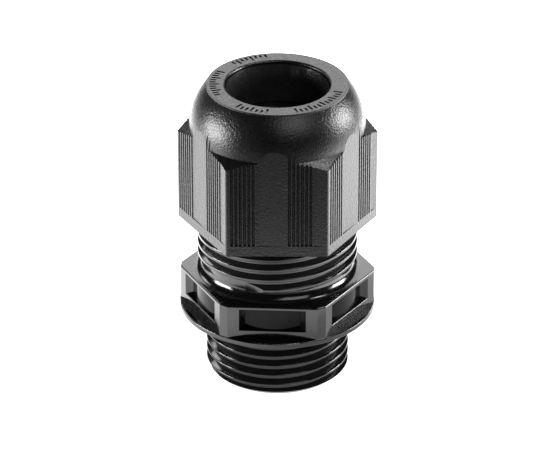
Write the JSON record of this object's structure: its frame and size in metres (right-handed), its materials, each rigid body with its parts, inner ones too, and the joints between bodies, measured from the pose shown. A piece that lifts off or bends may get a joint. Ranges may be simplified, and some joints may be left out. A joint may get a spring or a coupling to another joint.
{
  "type": "cable gland",
  "caption": "Black polyamide cable gland: hexagon dome nut over a sealing insert and clamping fingers, hexagon collar with flange, threaded entry.",
  "frame": {"origin": "centre of the free end of the connection thread, on the gland's axis, at the bottom of the bounding box", "axes": "+Z along the axis from the connection thread to the dome nut; one flat of the hexagon collar faces -Y"},
  "size_m": [0.0274, 0.0272, 0.0435],
  "materials": {
    "body_polyamide": "moulded, glossy black",
    "nut_polyamide": "fine spark-eroded texture, satin black",
    "cage_polyamide": "moulded, dark",
    "seal_rubber": "smooth black elastomer"
  },
  "bodies": {
    "gland_body": {"gland_body": "body_polyamide", "clamping_cage": "cage_polyamide"},
    "sealing_insert": {"sealing_insert": "seal_rubber"},
    "cap_nut": {"cap_nut": "nut_polyamide"},
    "finger_01": {"finger_01": "cage_polyamide"},
    "finger_02": {"finger_02": "cage_polyamide"},
    "finger_03": {"finger_03": "cage_polyamide"},
    "finger_04": {"finger_04": "cage_polyamide"},
    "finger_05": {"finger_05": "cage_polyamide"},
    "finger_06": {"finger_06": "cage_polyamide"},
    "finger_07": {"finger_07": "cage_polyamide"},
    "finger_08": {"finger_08": "cage_polyamide"},
    "finger_09": {"finger_09": "cage_polyamide"},
    "finger_10": {"finger_10": "cage_polyamide"},
    "finger_11": {"finger_11": "cage_polyamide"},
    "finger_12": {"finger_12": "cage_polyamide"},
    "finger_13": {"finger_13": "cage_polyamide"},
    "finger_14": {"finger_14": "cage_polyamide"},
    "finger_15": {"finger_15": "cage_polyamide"},
    "finger_16": {"finger_16": "cage_polyamide"}
  },
  "joints": [
    {"name": "nut_travel", "type": "slide", "parent": "gland_body", "child": "sealing_insert", "axis": [0, 0, 1], "range_m": [-0.00465, 0.0031]},
    {"name": "nut_turn", "type": "hinge", "parent": "sealing_insert", "child": "cap_nut", "pos_m": [0, 0, 0.03305], "axis": [0, 0, 1], "range_deg": [-540, 360]},
    {"name": "finger_01_lean", "type": "hinge", "parent": "gland_body", "child": "finger_01", "pos_m": [0.0095, 0, 0.02855], "axis": [0, -1, 0], "range_deg": [-5.12, 7.68]},
    {"name": "finger_02_lean", "type": "hinge", "parent": "gland_body", "child": "finger_02", "pos_m": [0.00878, 0.00364, 0.02855], "axis": [0.3827, -0.9239, 0], "range_deg": [-5.12, 7.68]},
    {"name": "finger_03_lean", "type": "hinge", "parent": "gland_body", "child": "finger_03", "pos_m": [0.00672, 0.00672, 0.02855], "axis": [0.7071, -0.7071, 0], "range_deg": [-5.12, 7.68]},
    {"name": "finger_04_lean", "type": "hinge", "parent": "gland_body", "child": "finger_04", "pos_m": [0.00364, 0.00878, 0.02855], "axis": [0.9239, -0.3827, 0], "range_deg": [-5.12, 7.68]},
    {"name": "finger_05_lean", "type": "hinge", "parent": "gland_body", "child": "finger_05", "pos_m": [0, 0.0095, 0.02855], "axis": [1, 0, 0], "range_deg": [-5.12, 7.68]},
    {"name": "finger_06_lean", "type": "hinge", "parent": "gland_body", "child": "finger_06", "pos_m": [-0.00364, 0.00878, 0.02855], "axis": [0.9239, 0.3827, 0], "range_deg": [-5.12, 7.68]},
    {"name": "finger_07_lean", "type": "hinge", "parent": "gland_body", "child": "finger_07", "pos_m": [-0.00672, 0.00672, 0.02855], "axis": [0.7071, 0.7071, 0], "range_deg": [-5.12, 7.68]},
    {"name": "finger_08_lean", "type": "hinge", "parent": "gland_body", "child": "finger_08", "pos_m": [-0.00878, 0.00364, 0.02855], "axis": [0.3827, 0.9239, 0], "range_deg": [-5.12, 7.68]},
    {"name": "finger_09_lean", "type": "hinge", "parent": "gland_body", "child": "finger_09", "pos_m": [-0.0095, 0, 0.02855], "axis": [0, 1, 0], "range_deg": [-5.12, 7.68]},
    {"name": "finger_10_lean", "type": "hinge", "parent": "gland_body", "child": "finger_10", "pos_m": [-0.00878, -0.00364, 0.02855], "axis": [-0.3827, 0.9239, 0], "range_deg": [-5.12, 7.68]},
    {"name": "finger_11_lean", "type": "hinge", "parent": "gland_body", "child": "finger_11", "pos_m": [-0.00672, -0.00672, 0.02855], "axis": [-0.7071, 0.7071, 0], "range_deg": [-5.12, 7.68]},
    {"name": "finger_12_lean", "type": "hinge", "parent": "gland_body", "child": "finger_12", "pos_m": [-0.00364, -0.00878, 0.02855], "axis": [-0.9239, 0.3827, 0], "range_deg": [-5.12, 7.68]},
    {"name": "finger_13_lean", "type": "hinge", "parent": "gland_body", "child": "finger_13", "pos_m": [0, -0.0095, 0.02855], "axis": [-1, 0, 0], "range_deg": [-5.12, 7.68]},
    {"name": "finger_14_lean", "type": "hinge", "parent": "gland_body", "child": "finger_14", "pos_m": [0.00364, -0.00878, 0.02855], "axis": [-0.9239, -0.3827, 0], "range_deg": [-5.12, 7.68]},
    {"name": "finger_15_lean", "type": "hinge", "parent": "gland_body", "child": "finger_15", "pos_m": [0.00672, -0.00672, 0.02855], "axis": [-0.7071, -0.7071, 0], "range_deg": [-5.12, 7.68]},
    {"name": "finger_16_lean", "type": "hinge", "parent": "gland_body", "child": "finger_16", "pos_m": [0.00878, -0.00364, 0.02855], "axis": [-0.3827, -0.9239, 0], "range_deg": [-5.12, 7.68]}
  ],
  "couplings": [
    {"joint": "nut_travel", "follows": "nut_turn", "m_per_rad": 0.00049338},
    {"joint": "finger_01_lean", "follows": "nut_turn", "ratio": -0.014208},
    {"joint": "finger_02_lean", "follows": "nut_turn", "ratio": -0.014208},
    {"joint": "finger_03_lean", "follows": "nut_turn", "ratio": -0.014208},
    {"joint": "finger_04_lean", "follows": "nut_turn", "ratio": -0.014208},
    {"joint": "finger_05_lean", "follows": "nut_turn", "ratio": -0.014208},
    {"joint": "finger_06_lean", "follows": "nut_turn", "ratio": -0.014208},
    {"joint": "finger_07_lean", "follows": "nut_turn", "ratio": -0.014208},
    {"joint": "finger_08_lean", "follows": "nut_turn", "ratio": -0.014208},
    {"joint": "finger_09_lean", "follows": "nut_turn", "ratio": -0.014208},
    {"joint": "finger_10_lean", "follows": "nut_turn", "ratio": -0.014208},
    {"joint": "finger_11_lean", "follows": "nut_turn", "ratio": -0.014208},
    {"joint": "finger_12_lean", "follows": "nut_turn", "ratio": -0.014208},
    {"joint": "finger_13_lean", "follows": "nut_turn", "ratio": -0.014208},
    {"joint": "finger_14_lean", "follows": "nut_turn", "ratio": -0.014208},
    {"joint": "finger_15_lean", "follows": "nut_turn", "ratio": -0.014208},
    {"joint": "finger_16_lean", "follows": "nut_turn", "ratio": -0.014208}
  ]
}
